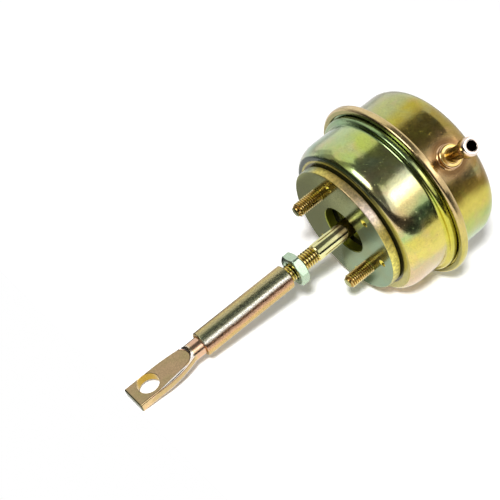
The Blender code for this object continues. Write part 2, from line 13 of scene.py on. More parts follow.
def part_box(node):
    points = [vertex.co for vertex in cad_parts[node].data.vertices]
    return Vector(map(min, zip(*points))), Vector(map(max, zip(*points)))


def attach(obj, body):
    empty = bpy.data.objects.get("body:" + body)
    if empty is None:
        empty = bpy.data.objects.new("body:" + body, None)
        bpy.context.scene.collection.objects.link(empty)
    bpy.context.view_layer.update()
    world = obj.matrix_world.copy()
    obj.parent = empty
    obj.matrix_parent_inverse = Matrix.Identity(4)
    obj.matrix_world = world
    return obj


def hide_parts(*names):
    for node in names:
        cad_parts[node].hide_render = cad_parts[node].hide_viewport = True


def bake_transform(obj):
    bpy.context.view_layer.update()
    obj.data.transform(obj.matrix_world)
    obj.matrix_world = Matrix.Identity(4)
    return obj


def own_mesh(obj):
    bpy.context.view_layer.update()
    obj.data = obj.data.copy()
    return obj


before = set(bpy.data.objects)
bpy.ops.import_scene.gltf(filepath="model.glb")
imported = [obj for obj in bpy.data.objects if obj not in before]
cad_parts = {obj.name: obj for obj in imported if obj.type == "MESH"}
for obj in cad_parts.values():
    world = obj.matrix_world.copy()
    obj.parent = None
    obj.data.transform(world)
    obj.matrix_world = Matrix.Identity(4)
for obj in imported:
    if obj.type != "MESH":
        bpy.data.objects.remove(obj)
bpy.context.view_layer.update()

MM = 0.001

# Places and sizes, those of the CAD model or within a fraction of a millimetre of them
PLATE_RADIUS = 29.2 * MM
PLATE_THICKNESS = 4.0 * MM
PLATE_HOLE = 11.0 * MM
STUD_ANGLE = math.radians(135)
STUD_REACH = 18.0 * MM
STUD_LENGTH = 12.2 * MM
NIPPLE_ANGLE = math.radians(47)
NIPPLE_X = -40.2 * MM
NIPPLE_COLLAR = 2.3 * MM
NIPPLE_BARB = 14.4 * MM
NIPPLE_LENGTH = 20.2 * MM
NIPPLE_BORE = 2.15 * MM
NIPPLE_STEM = 2.8 * MM
NIPPLE_MOUTH = 3.2 * MM
CAN_FACE = -5.0 * MM
CAN_RADIUS = 35.8 * MM
CAN_CORNER = (7.6 * MM, 3.6 * MM)
REAR_CORNER = 8.3 * MM
SHEET = 0.8 * MM
FLANGE = -27.6 * MM
STEP_FOOT = -22.6 * MM
STEP_RADIUS = 38.2 * MM
SEAM_RADIUS = 41.5 * MM
SEAM_LIP = -26.6 * MM
CLAMPED_RADIUS = SEAM_RADIUS - SHEET - 0.4 * MM
REAR_END = -54.1 * MM
DIMPLE_CIRCLE = 22.7 * MM
DIMPLE_ANGLES = [STUD_ANGLE + math.radians(a) for a in (36, 90, 144, 216, 270, 324)]
ROD_RADIUS = 3.85 * MM
ROD_THREAD = 15.8 * MM
NUT = (24.2 * MM, 28.4 * MM, 13.0 * MM)
SLEEVE = (31.4 * MM, 76.2 * MM, 5.4 * MM)
BLADE = (80.8 * MM, 110.5 * MM)
FLAT = 2.1 * MM
EYE_X = 102.1 * MM
EYE_RADIUS = 4.6 * MM

# Threads, from crest to root, and the bores that pass over the rod's
STUD_CREST = 3.0 * MM
STUD_ROOT = 2.42 * MM
STUD_PITCH = 1.0 * MM
ROD_CREST = 3.75 * MM
ROD_ROOT = 3.05 * MM
ROD_PITCH = 1.25 * MM
TAPPED_BORE = 4.15 * MM

# The jaws that pressed the rod end flat: a half oval, whose straight sides spread towards the tip
JAW_NOSE = 4.0 * MM
JAW_HALF_WIDTH = 4.1 * MM
JAW_EDGE = 2.0 * MM
JAW_WALL = 1.2 * MM
JAW_SPREAD = 0.1
JAW_X = BLADE[0] + JAW_EDGE + JAW_NOSE
JAW_Y = 0.3 * MM
BLADE_HALF_WIDTH = 6.0 * MM
BLADE_HALF_HEIGHT = 4.8 * MM
BLADE_OFFSET = 0.75 * MM

# Up from the surface that the actuator lies on, with the seam and the rod end's tip touching it
UP = Vector((-0.2729, 0.0, 0.9620)).normalized()
FLOOR_POINT = Vector((-28.4 * MM, 0, -41.5 * MM))
CAMERA_PLACE = Vector((0.1797, 0.2907, 0.3786))


def around(radius, angle, x=0.0):
    return Vector((x, radius * math.cos(angle), radius * math.sin(angle)))


NIPPLE_FOOT = around(CAN_RADIUS, NIPPLE_ANGLE, NIPPLE_X)


def arc(centre, radii, start, end, steps):
    """Points of an elliptical arc in the (x, r) plane, with angles in degrees from +x."""
    angles = [math.radians(start + (end - start) * k / steps) for k in range(steps + 1)]
    return [(centre[0] + radii[0] * math.cos(a), centre[1] + radii[1] * math.sin(a)) for a in angles]


def offset(path, distance):
    """The path moved sideways by distance, to its left where that is positive."""
    moved = []
    for k, point in enumerate(path):
        before, after = Vector(path[max(k - 1, 0)]), Vector(path[min(k + 1, len(path) - 1)])
        here = Vector(point)
        first = (here - before).normalized() if k else (after - here).normalized()
        last = (after - here).normalized() if k < len(path) - 1 else first
        middle = (first + last).normalized()
        moved.append(tuple(here + Vector((-middle.y, middle.x)) * distance / middle.dot(first)))
    return moved


def sheet_section(path, thickness):
    return path + offset(path, thickness)[::-1]


def subdivided(path, longest):
    """The path with its long stretches cut into shorter ones."""
    out = [path[0]]
    for a, b in zip(path, path[1:]):
        count = max(1, math.ceil((Vector(b) - Vector(a)).length / longest))
        out += [tuple(Vector(a).lerp(Vector(b), k / count)) for k in range(1, count + 1)]
    return out


def added(name, data):
    """A new object in the scene."""
    obj = bpy.data.objects.new(name, data)
    bpy.context.scene.collection.objects.link(obj)
    return obj


def piece(name, bm, body, replaced, material, sharp=35):
    """Finishes a mesh as a piece that stands for a CAD node, and rides on a body if one is given."""
    bmesh.ops.remove_doubles(bm, verts=bm.verts, dist=2e-7)
    bmesh.ops.recalc_face_normals(bm, faces=bm.faces)
    mesh = bpy.data.meshes.new(name)
    bm.to_mesh(mesh)
    bm.free()
    mesh.materials.append(material)
    obj = added(name, mesh)
    mesh.shade_smooth()
    mesh.set_sharp_from_angle(angle=math.radians(sharp))
    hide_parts(replaced)
    if body:
        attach(obj, body)
    return obj


def skin(bm, rings, closed=False):
    """Faces between rings of vertices, back to the first ring where closed, and with caps otherwise."""
    following = rings[1:] + rings[:1] if closed else rings[1:]
    for one, two in zip(rings, following):
        for j in range(len(one)):
            n = (j + 1) % len(one)
            bm.faces.new((one[j], one[n], two[n], two[j]))
    if not closed:
        bm.faces.new(rings[0])
        bm.faces.new(rings[-1])


def lathe(section, steps, move=None):
    """A bmesh of the closed (x, r) section turned round X. move changes each point (x, r, angle)."""
    bm = bmesh.new()
    rings = []
    for k in range(steps):
        a = 2 * math.pi * k / steps
        ring = []
        for x, r in section:
            px, pr = move(x, r, a) if move else (x, r)
            ring.append(bm.verts.new((px, pr * math.cos(a), pr * math.sin(a))))
        rings.append(ring)
    count = len(section)
    for k in range(steps):
        one, two = rings[k], rings[(k + 1) % steps]
        for j in range(count):
            n = (j + 1) % count
            if section[j][1] < 1e-9 and section[n][1] < 1e-9:
                continue
            bm.faces.new((one[j], one[n], two[n], two[j]))
    return bm


def threaded_bar(before, thread, after, steps=64):
    """A solid bar: plain sections before and after a helical thread, all of (x, r) points.
    thread is (start, end, crest radius, root radius, pitch, start limit, end limit), where a limit is
    the radius at that end, from which the crest rises or to which the root runs out."""
    x0, x1, crest, root, pitch, r0, r1 = thread
    wave = [(0.0, root), (0.10, root), (0.40, crest), (0.56, crest), (0.86, root)]
    per = len(wave)
    turns = math.ceil((x1 - x0) / pitch) + 2
    bm = bmesh.new()
    rings = []
    for s in range(steps):
        column = list(before)
        for k in range(turns * per):
            phase, r = wave[k % per]
            x = x0 + (k // per + phase + s / steps - 1) * pitch
            if x <= x0:
                column.append((x0, r0))
            elif x >= x1:
                column.append((x1, r1))
            else:
                for reach, limit in ((x - x0, r0), (x1 - x, r1)):
                    r = max(r, limit - reach * 0.7) if limit > (crest + root) / 2 else min(r, limit + reach)
                column.append((x, r))
        column += after
        a = 2 * math.pi * s / steps
        rings.append([bm.verts.new((x, r * math.cos(a), r * math.sin(a))) for x, r in column])
    first, last, count = len(before), len(before) + turns * per, len(rings[0])
    for s in range(steps):
        one, two = rings[s], rings[(s + 1) % steps]
        for j in range(count - 1):
            inside = first <= j and j + 1 < last
            shift = per if inside and s == steps - 1 else 0
            if inside and j + 1 + shift >= last:
                continue
            bm.faces.new((one[j], one[j + 1], two[j + 1 + shift], two[j + shift]))
    return bm


class Nodes:
    """Short calls for building a material's node tree."""

    def __init__(self, name):
        self.material = bpy.data.materials.new(name)
        self.material.use_nodes = True
        self.tree = self.material.node_tree
        self.shader = self.tree.nodes["Principled BSDF"]
        self.place = self.add("ShaderNodeTexCoord").outputs["Object"]
        split = self.add("ShaderNodeSeparateXYZ")
        self.link(self.place, split.inputs[0])
        self.x, self.y, self.z = split.outputs

    def add(self, kind, **settings):
        node = self.tree.nodes.new(kind)
        for key, value in settings.items():
            setattr(node, key, value)
        return node

    def link(self, value, socket):
        if isinstance(value, bpy.types.NodeSocket):
            self.tree.links.new(value, socket)
        elif isinstance(value, tuple) and len(value) == 3 and socket.type == "RGBA":
            socket.default_value = (*value, 1)
        else:
            socket.default_value = value

    def math(self, operation, a, b=0.0, clamp=False):
        node = self.add("ShaderNodeMath", operation=operation, use_clamp=clamp)
        self.link(a, node.inputs[0])
        self.link(b, node.inputs[1])
        return node.outputs[0]

    def vector(self, x, y, z):
        node = self.add("ShaderNodeCombineXYZ")
        for value, socket in zip((x, y, z), node.inputs):
            self.link(value, socket)
        return node.outputs[0]

    def away(self, point):
        """The distance from a point."""
        node = self.add("ShaderNodeVectorMath", operation="DISTANCE")
        self.link(self.place, node.inputs[0])
        node.inputs[1].default_value = point
        return node.outputs["Value"]

    def radius(self, y=0.0, z=0.0):
        """The distance from the line along X through this y and z."""
        up, out = self.math("SUBTRACT", self.z, z), self.math("SUBTRACT", self.y, y)
        square = self.math("ADD", self.math("MULTIPLY", up, up), self.math("MULTIPLY", out, out))
        return self.math("SQRT", square)

    def turn(self):
        """The share of a turn round the rod, from 0.5 at +Y towards +Z."""
        return self.math("ADD", self.math("DIVIDE", self.math("ARCTAN2", self.z, self.y), 2 * math.pi), 0.5)

    def noise(self, scale, detail=4.0, roughness=0.55, distortion=0.0, at=None):
        node = self.add("ShaderNodeTexNoise")
        self.link(at or self.place, node.inputs["Vector"])
        node.inputs["Scale"].default_value = scale
        node.inputs["Detail"].default_value = detail
        node.inputs["Roughness"].default_value = roughness
        node.inputs["Distortion"].default_value = distortion
        return node.outputs["Fac"]

    def mapped(self, value, low, high, to_low=0.0, to_high=1.0):
        node = self.add("ShaderNodeMapRange", clamp=True)
        for socket, given in zip(node.inputs, (value, low, high, to_low, to_high)):
            self.link(given, socket)
        return node.outputs["Result"]

    def between(self, value, low, high, soft):
        """1 where low < value < high, falling to 0 over a soft width outside."""
        rise = self.mapped(value, low - soft, low)
        fall = self.mapped(value, high, high + soft, 1.0, 0.0)
        return self.math("MULTIPLY", rise, fall)

    def ramp(self, value, stops, interpolation="EASE"):
        node = self.add("ShaderNodeValToRGB")
        node.color_ramp.interpolation = interpolation
        elements = node.color_ramp.elements
        while len(elements) > 1:
            elements.remove(elements[-1])
        for k, (place, colour) in enumerate(stops):
            element = elements[0] if k == 0 else elements.new(place)
            element.position = place
            element.color = (*colour, 1)
        self.link(value, node.inputs["Fac"])
        return node.outputs["Color"]

    def mix(self, factor, a, b, blend="MIX"):
        node = self.add("ShaderNodeMix", data_type="RGBA", blend_type=blend)
        self.link(factor, node.inputs[0])
        self.link(a, node.inputs[6])
        self.link(b, node.inputs[7])
        return node.outputs[2]

    def grey(self, value):
        node = self.add("ShaderNodeCombineColor")
        for socket in node.inputs[:3]:
            self.link(value, socket)
        return node.outputs[0]

    def shaded(self, colour, value):
        return self.mix(1.0, colour, self.grey(value), "MULTIPLY")

    def bump(self, height, strength, distance, normal=None):
        node = self.add("ShaderNodeBump")
        self.link(height, node.inputs["Height"])
        node.inputs["Strength"].default_value = strength
        node.inputs["Distance"].default_value = distance
        if normal:
            self.link(normal, node.inputs["Normal"])
        return node.outputs["Normal"]

    def finish(self, colour, metallic, roughness, normal=None):
        self.link(colour, self.shader.inputs["Base Color"])
        self.link(metallic, self.shader.inputs["Metallic"])
        self.link(roughness, self.shader.inputs["Roughness"])
        if normal:
            self.link(normal, self.shader.inputs["Normal"])
        return self.material


def linear(r, g, b):
    """An 8-bit screen colour as a linear one."""
    shares = (r / 255, g / 255, b / 255)
    return tuple(c / 12.92 if c <= 0.04045 else ((c + 0.055) / 1.055) ** 2.4 for c in shares)


def turn_stops(colours):
    """Ramp stops from {degrees round the rod, from +Y towards +Z: screen colour}."""
    stops = [(degrees / 360 + 0.5, linear(*colour)) for degrees, colour in sorted(colours.items())]
    return [(0.0, stops[0][1])] + stops + [(1.0, stops[0][1])]


# Noise scale, shift and screen colour of the pink, mint and lime patches
PATCHES = ((62, 0.0, (232, 178, 148)), (48, 3.1, (176, 206, 168)), (55, 7.7, (196, 206, 84)))


def drawn_zinc(name, colours, roughness=0.15, patch=0.45, peel=0.10, zones=None, film=1.0):
    """Yellow passivated zinc on drawn sheet: colour that drifts round the can with patches, fine
    specks, an orange-peel surface and faint lines from the drawing die. Towards the can's axis the
    colours fade into one. film is how metallic the front can's flat face is."""
    n = Nodes(name)
    turn = n.turn()
    drift = n.mapped(n.noise(30, 3), 0.3, 0.7, -0.022, 0.022)
    # The colour round the can comes from a table of the zinc's own hues with painted highlight and painted
    # shade in it
    colour = n.ramp(n.math("ADD", turn, drift), turn_stops(colours))
    colour = n.mix(n.mapped(n.radius(), 6 * MM, 30 * MM, 0.9, 0.0), colour, linear(196, 184, 116))
    for scale, shift, tint in PATCHES:
        moved = n.vector(n.math("ADD", n.x, shift), n.y, n.z)
        share = n.mapped(n.noise(scale, 5, 0.6, 0.7, moved), 0.50, 0.74, 0.0, patch)
        colour = n.mix(share, colour, linear(*tint))
    if zones:
        colour = zones(n, colour)
    colour = n.shaded(colour, n.mapped(n.noise(2100, 3, 0.7), 0.32, 0.62, 0.78, 1.05))
    colour = n.shaded(colour, n.mapped(n.noise(260, 4, 0.6), 0.3, 0.7, 0.93, 1.04))
    lines = n.vector(n.math("MULTIPLY", n.x, 2400.0), n.math("MULTIPLY", turn, 12.0), 0.0)
    rough = n.mapped(n.noise(420, 4, 0.65), 0.3, 0.7, roughness - 0.03, roughness + 0.06)
    normal = n.bump(n.noise(1.0, 3, 0.6, 0.0, lines), 0.06, 0.00006)
    normal = n.bump(n.noise(1500, 3, 0.6), peel, 0.00010, normal)
    normal = n.bump(n.noise(240, 2, 0.5), peel * 0.8, 0.0003, normal)
    normal = n.bump(n.mapped(n.noise(1000, 2, 0.6), 0.69, 0.75), 0.5, 0.00012, normal)
    metal = n.mapped(n.x, CAN_FACE - 0.3 * MM, CAN_FACE - 0.15 * MM, 1.0, film)
    return n.finish(colour, metal, rough, normal)


def turned_zinc(
    name, base, tint, roughness=0.22, grain=1400, lines=0.10, peel=0.14, speck=0.8, zones=None, pitted=0.0
):
    """Passivated zinc on turned, rolled or forged bar, with lines across it and pits where asked for."""
    n = Nodes(name)
    cloud = n.mapped(n.noise(170, 4, 0.6, 0.5), 0.42, 0.68, 0.0, 0.8)
    colour = n.mix(cloud, linear(*base), linear(*tint))
    if zones:
        colour = zones(n, colour)
    colour = n.shaded(colour, n.mapped(n.noise(grain * 1.5, 3, 0.7), 0.35, 0.62, speck, 1.06))
    rough = n.mapped(n.noise(500, 4, 0.65), 0.3, 0.7, roughness - 0.04, roughness + 0.08)
    normal = n.bump(n.noise(grain, 4, 0.65), peel, 0.00010)
    if pitted:
        normal = n.bump(n.mapped(n.noise(2300, 2, 0.6), 0.5, 0.62), pitted, 0.00010, normal)
    if lines:
        along = n.vector(n.math("MULTIPLY", n.x, 5200.0), 0.0, 0.0)
        normal = n.bump(n.noise(1.0, 2, 0.5, 0.0, along), lines, 0.00005, normal)
    return n.finish(colour, 1.0, rough, normal)


def plain(name, base, metallic, roughness, grain=900, depth=0.2):
    n = Nodes(name)
    colour = n.shaded(linear(*base), n.mapped(n.noise(grain * 0.25, 4, 0.6), 0.3, 0.7, 0.82, 1.12))
    rough = n.mapped(n.noise(grain * 0.5, 4), 0.3, 0.7, roughness - 0.08, roughness + 0.08)
    return n.finish(colour, metallic, rough, n.bump(n.noise(grain, 4, 0.6), depth, 0.00010))


def step_zone(n, colour):
    """The stepped mouth is greener than the body. The flat face is darkened by painted shade in the narrow
    space beside the plate's rim, and carries a painted dark reflection on its upper side.
    """
    ring = n.mapped(n.x, STEP_FOOT + 0.2 * MM, STEP_FOOT - 0.8 * MM)
    side = n.mapped(n.math("SUBTRACT", n.z, n.y), -20 * MM, 20 * MM)
    own = n.mix(side, linear(206, 200, 70), linear(132, 164, 116))
    colour = n.mix(n.math("MULTIPLY", ring, 0.8), colour, own)
    face = n.mapped(n.x, CAN_FACE - 0.45 * MM, CAN_FACE - 0.15 * MM)
    r = n.radius()
    olive = n.mix(n.mapped(r, 12 * MM, 24 * MM), linear(134, 134, 66), linear(196, 184, 90))
    # Painted shade beside the plate's rim
    painted_gap_shade = n.mapped(r, PLATE_RADIUS + 1.2 * MM, PLATE_RADIUS + 0.6 * MM, 0.0, 0.9)
    olive = n.mix(painted_gap_shade, olive, linear(30, 32, 18))
    # A painted dark reflection on the upper side of the flat face
    dark_reflection_side = n.mapped(n.math("SUBTRACT", n.z, n.math("MULTIPLY", n.y, 1.2)), -4 * MM, 9 * MM)
    painted_dark_band = n.math("MULTIPLY", n.mapped(r, PLATE_RADIUS + 1.6 * MM, PLATE_RADIUS + 2.1 * MM), dark_reflection_side)
    return n.mix(face, colour, n.mix(painted_dark_band, olive, linear(44, 62, 40)))


def seam_zone(n, colour):
    """The rolled bead is pale gold, its lip olive, and brown rings lie round the nipple's foot."""
    r = n.radius()
    away = n.away(NIPPLE_FOOT)
    colour = n.mix(n.mapped(away, 6 * MM, 12 * MM, 0.75, 0.0), colour, linear(184, 142, 104))
    colour = n.mix(n.between(away, 5.0 * MM, 6.8 * MM, 1.6 * MM), colour, linear(136, 104, 66))
    bead = n.mapped(r, STEP_RADIUS - 0.6 * MM, STEP_RADIUS + 0.4 * MM)
    side = n.mapped(n.math("SUBTRACT", n.z, n.y), -48 * MM, -20 * MM)
    own = n.mix(side, linear(214, 194, 92), linear(228, 200, 148))
    colour = n.mix(n.math("MULTIPLY", bead, 0.75), colour, own)
    ahead = n.mapped(n.x, SEAM_LIP - 0.4 * MM, SEAM_LIP - 0.1 * MM)
    lip = n.math("MULTIPLY", ahead, n.mapped(r, SEAM_RADIUS - 0.6 * MM, SEAM_RADIUS - 1.1 * MM))
    return n.mix(n.math("MULTIPLY", lip, 0.8), colour, linear(138, 136, 72))


def plate_colour(n):
    """Olive brown at the upper left to teal green at the lower right."""
    across = n.math("SUBTRACT", n.math("MULTIPLY", n.y, 0.83), n.math("MULTIPLY", n.z, 0.55))
    drift = n.mapped(n.noise(45, 3), 0.3, 0.7, -9 * MM, 9 * MM)
    teal = n.mapped(n.math("ADD", across, drift), -8 * MM, 26 * MM)
    colour = n.mix(teal, linear(122, 126, 58), linear(130, 156, 124))
    cloud = n.mapped(n.noise(120, 4, 0.6, 0.5), 0.45, 0.7, 0.0, 0.35)
    return n.mix(cloud, colour, linear(132, 130, 78))


def plate_material():
    """The plate: satin, with an olive hole, a painted yellow glint in each weld dimple, and a torn rim in
    its own colours, with painted highlight among them.
    """
    n = Nodes("plate_zinc_satin")
    r = n.radius()
    rim = n.mapped(r, PLATE_RADIUS - 0.45 * MM, PLATE_RADIUS - 0.2 * MM)
    hole = n.mapped(r, PLATE_HOLE + 0.3 * MM, PLATE_HOLE + 0.1 * MM)
    colour = plate_colour(n)
    own = n.ramp(n.turn(), turn_stops(rim_tints_and_painted_light))
    own = n.shaded(own, n.mapped(n.noise(620, 4, 0.65), 0.40, 0.60, 0.72, 1.12))
    colour = n.mix(rim, colour, own)
    colour = n.mix(hole, colour, linear(150, 154, 60))
    # A painted yellow glint in each weld dimple
    pit = 0.0
    for angle in DIMPLE_ANGLES:
        middle = tuple(around(DIMPLE_CIRCLE, angle, -0.5 * MM))
        pit = n.math("MAXIMUM", pit, n.mapped(n.away(middle), 1.9 * MM, 1.6 * MM))
    colour = n.mix(n.math("MULTIPLY", pit, 0.9), colour, linear(246, 226, 90))
    colour = n.shaded(colour, n.mapped(n.noise(2100, 3, 0.7), 0.32, 0.62, 0.84, 1.05))
    fine = n.mapped(n.noise(420, 4, 0.65), 0.3, 0.7, 0.15, 0.21)
    rough = n.math("ADD", fine, n.math("MULTIPLY", n.math("MAXIMUM", rim, hole), 0.2))
    normal = n.bump(n.noise(1500, 3, 0.6), 0.035, 0.00008)
    torn = n.add("ShaderNodeBump")
    n.link(n.noise(700, 4, 0.7), torn.inputs["Height"])
    n.link(n.math("MULTIPLY", rim, 0.5), torn.inputs["Strength"])
    torn.inputs["Distance"].default_value = 0.0004
    n.link(normal, torn.inputs["Normal"])
    return n.finish(colour, 1.0, rough, torn.outputs["Normal"])


def stud_zone(centre):
    """A zone on a stud at this (y, z): painted shade and dirt darken the thread towards its root, and the
    end is olive.
    """

    def zone(n, colour):
        root_dirt_and_shade = n.mapped(n.radius(*centre), STUD_CREST - 0.12 * MM, STUD_ROOT + 0.05 * MM)
        colour = n.mix(n.math("MULTIPLY", root_dirt_and_shade, 0.85), colour, linear(150, 106, 44))
        end = n.mapped(n.x, STUD_LENGTH - 0.3 * MM, STUD_LENGTH - 0.1 * MM)
        return n.mix(end, colour, linear(172, 172, 110))

    return zone


def rod_zone(n, colour):
    """The thread is gold, with painted shade and dirt that darken it towards its root. Beside the plate's
    hole the rod is painted brown, a painted reflection of the dark plate.
    """
    threaded = n.mapped(n.x, ROD_THREAD - 0.2 * MM, ROD_THREAD + 0.1 * MM)
    root_dirt_and_shade = n.mapped(n.radius(), ROD_CREST - 0.15 * MM, ROD_ROOT + 0.05 * MM)
    colour = n.mix(threaded, colour, n.mix(root_dirt_and_shade, linear(240, 224, 150), linear(162, 136, 76)))
    wobble = n.mapped(n.noise(300, 3), 0.3, 0.7, -0.8 * MM, 0.8 * MM)
    painted_plate_reflection = n.mapped(n.math("ADD", n.x, wobble), 5.4 * MM, 2.4 * MM, 0.0, 0.85)
    return n.mix(painted_plate_reflection, colour, linear(104, 80, 44))


def sleeve_zone(n, colour):
    """Colours that lie along the tube in bands, in place of the bar's own: the tube's tints, with a painted
    white highlight and painted dark reflections beside it.
    """
    drift = n.mapped(n.noise(60, 4, 0.6, 0.5), 0.3, 0.7, -0.014, 0.014)
    return n.ramp(n.math("ADD", n.turn(), drift), turn_stops(sleeve_tints_and_painted_light))


def nipple_zone(n, colour):
    """The mouth's lip has a painted highlight, and the stem is a deeper gold."""
    height = n.away((NIPPLE_X, 0.0, 0.0))
    collar = CAN_RADIUS + NIPPLE_COLLAR
    barb = CAN_RADIUS + NIPPLE_BARB
    top = CAN_RADIUS + NIPPLE_LENGTH
    stem = n.between(height, collar + 0.3 * MM, barb + 0.2 * MM, 0.3 * MM)
    colour = n.mix(n.math("MULTIPLY", stem, 0.7), colour, linear(198, 170, 64))
    # A painted highlight on the mouth's lip
    mouth = n.mapped(height, top - 1.0 * MM, top - 0.4 * MM)
    return n.mix(n.math("MULTIPLY", mouth, 0.8), colour, linear(250, 236, 226))


def blade_zone(n, colour):
    """The pressed flats are olive, ringed by painted shade in the fold at the jaw's edge. The raised sides
    have a painted white highlight along their edge with a painted dark shade line under it, the neck is
    pink, and the eye's wall and the tip are darker."""
    high = n.math("ABSOLUTE", n.z)
    flat = n.between(high, FLAT - 0.03 * MM, FLAT + 0.1 * MM, 0.04 * MM)
    olive = n.mix(n.mapped(n.noise(110, 4, 0.6), 0.4, 0.65), linear(178, 152, 116), linear(166, 150, 106))
    colour = n.mix(flat, colour, olive)
    out = outside_jaw(n)
    # Painted shade in the fold at the jaw's edge
    painted_crease_shade = n.between(out, 0.2 * MM, 0.65 * MM, 0.15 * MM)
    painted_crease_shade = n.math("MULTIPLY", painted_crease_shade, n.mapped(n.x, JAW_X + 5.2 * MM, JAW_X - 0.8 * MM))
    painted_crease_shade = n.math("MULTIPLY", painted_crease_shade, n.mapped(high, FLAT - 0.15 * MM, FLAT))
    colour = n.mix(painted_crease_shade, colour, linear(104, 76, 58))
    past_neck = n.mapped(n.x, BLADE[0], BLADE[0] + 1.4 * MM)
    beside = n.math("MULTIPLY", n.mapped(out, 0.35 * MM, 0.55 * MM), past_neck)
    edge = n.mapped(n.x, BLADE[0] + 7.2 * MM, BLADE[1] - 3.5 * MM, 1.35 * MM, 1.95 * MM)
    below = n.math("SUBTRACT", edge, high)
    # A painted white highlight along the raised sides' edge, and a painted shade line under it
    rim = n.math("MULTIPLY", beside, n.mapped(below, 0.1 * MM, -0.1 * MM))
    colour = n.mix(rim, colour, linear(255, 246, 236))
    line = n.math("MULTIPLY", beside, n.between(below, 0.15 * MM, 0.35 * MM, 0.1 * MM))
    colour = n.mix(n.math("MULTIPLY", line, 0.9), colour, linear(134, 96, 66))
    side = n.math("MULTIPLY", beside, n.mapped(below, 0.4 * MM, 0.6 * MM))
    colour = n.mix(side, colour, linear(204, 178, 124))
    neck = n.mapped(n.x, BLADE[0] + 0.4 * MM, BLADE[0] - 0.4 * MM, 0.0, 0.7)
    colour = n.mix(neck, colour, linear(226, 182, 156))
    tip = n.mapped(n.x, BLADE[1] - 0.7 * MM, BLADE[1] - 0.3 * MM)
    colour = n.mix(tip, colour, linear(112, 112, 82))
    from_eye = n.add("ShaderNodeVectorMath", operation="LENGTH")
    n.link(n.vector(n.math("SUBTRACT", n.x, EYE_X), n.y, 0.0), from_eye.inputs[0])
    wall = n.mapped(from_eye.outputs["Value"], EYE_RADIUS + 0.25 * MM, EYE_RADIUS + 0.1 * MM)
    wall = n.math("MULTIPLY", wall, n.mapped(high, FLAT - 0.1 * MM, FLAT - 0.2 * MM))
    return n.mix(wall, colour, linear(190, 158, 66))


def outside_jaw(n):
    """The distance outwards from the outline that the jaw pressed flat."""
    ahead = n.math("SUBTRACT", n.x, JAW_X)
    aside = n.math("SUBTRACT", n.y, JAW_Y)
    square = n.math("POWER", n.math("MINIMUM", ahead, 0.0), 2.0)
    square = n.math("ADD", square, n.math("MULTIPLY", aside, aside))
    widening = n.math("MULTIPLY", n.math("MAXIMUM", ahead, 0.0), JAW_SPREAD)
    return n.math("SUBTRACT", n.math("SQRT", square), n.math("ADD", widening, JAW_HALF_WIDTH))


# Screen colours by degrees round the rod, from +Y towards +Z: the zinc's own hues, with painted highlight
# and painted shade in them
rim_tints_and_painted_light = {
    -60: (170, 185, 150), -30: (195, 190, 125), 0: (235, 225, 120), 30: (220, 200, 110),
    50: (240, 220, 205), 70: (230, 205, 150), 90: (205, 180, 100), 110: (225, 210, 110),
    125: (185, 195, 160), 140: (190, 190, 165),
}
front_tints_and_painted_light = {
    -30: (215, 190, 160), -10: (215, 195, 150), 0: (230, 215, 115), 20: (215, 200, 100),
    30: (160, 195, 130), 40: (225, 205, 140), 50: (230, 225, 180), 60: (195, 200, 130),
    70: (185, 190, 130), 90: (185, 200, 100), 110: (185, 200, 140), 125: (170, 190, 165),
    140: (185, 190, 170),
}
rear_tints_and_painted_light = {
    -50: (195, 190, 150), -30: (160, 190, 150), -10: (175, 190, 110), 10: (215, 200, 95),
    20: (150, 125, 55), 45: (170, 135, 80), 60: (165, 145, 75), 75: (170, 150, 75),
    90: (185, 170, 65), 105: (180, 185, 125), 120: (185, 180, 150), 140: (190, 180, 165),
}
sleeve_tints_and_painted_light = {
    -40: (205, 175, 105), 0: (225, 190, 120), 10: (230, 185, 140), 20: (205, 160, 130),
    30: (150, 110, 80), 45: (240, 235, 220), 60: (145, 145, 115), 70: (140, 145, 115),
    80: (160, 160, 120), 90: (190, 180, 135), 110: (215, 195, 130), 120: (190, 160, 105),
    140: (220, 190, 105),
}
front_zinc = drawn_zinc("front_zinc", front_tints_and_painted_light, zones=step_zone, film=0.35)
rear_zinc = drawn_zinc("rear_zinc", rear_tints_and_painted_light, 0.19, zones=seam_zone)
plate_zinc = plate_material()
stud_places = [around(STUD_REACH * side, STUD_ANGLE) for side in (1, -1)]
stud_zincs = [
    turned_zinc(f"stud_zinc_{k}", (250, 226, 146), (236, 216, 142), 0.22, zones=stud_zone(place.yz))
    for k, place in enumerate(stud_places)
]
nipple_zinc = turned_zinc(
    "nipple_zinc", (212, 176, 122), (226, 188, 164), 0.15, speck=0.92, lines=0.06, zones=nipple_zone
)
rod_zinc = turned_zinc(
    "rod_zinc", (232, 226, 168), (214, 216, 152), 0.10, peel=0.05, speck=0.92, zones=rod_zone
)
sleeve_zinc = turned_zinc(
    "sleeve_zinc", (220, 190, 140), (220, 190, 140), 0.17, 1500, 0.1, 0.26, 0.55, sleeve_zone, pitted=0.36
)
blade_zinc = turned_zinc(
    "blade_zinc", (228, 198, 146), (226, 184, 150), 0.18, lines=0, peel=0.08, zones=blade_zone
)
nut_zinc = turned_zinc("nut_zinc", (184, 206, 178), (190, 208, 184), 0.25, lines=0, speck=0.88)
olive_zinc = turned_zinc("olive_zinc", (150, 150, 80), (170, 172, 96), 0.24)
spring_steel = plain("spring_steel", (120, 120, 124), 1.0, 0.38)
rubber = plain("diaphragm_fabric", (34, 34, 34), 0.0, 0.75, 2200, 0.5)
seal = plain("seal", (26, 26, 26), 0.0, 0.5)


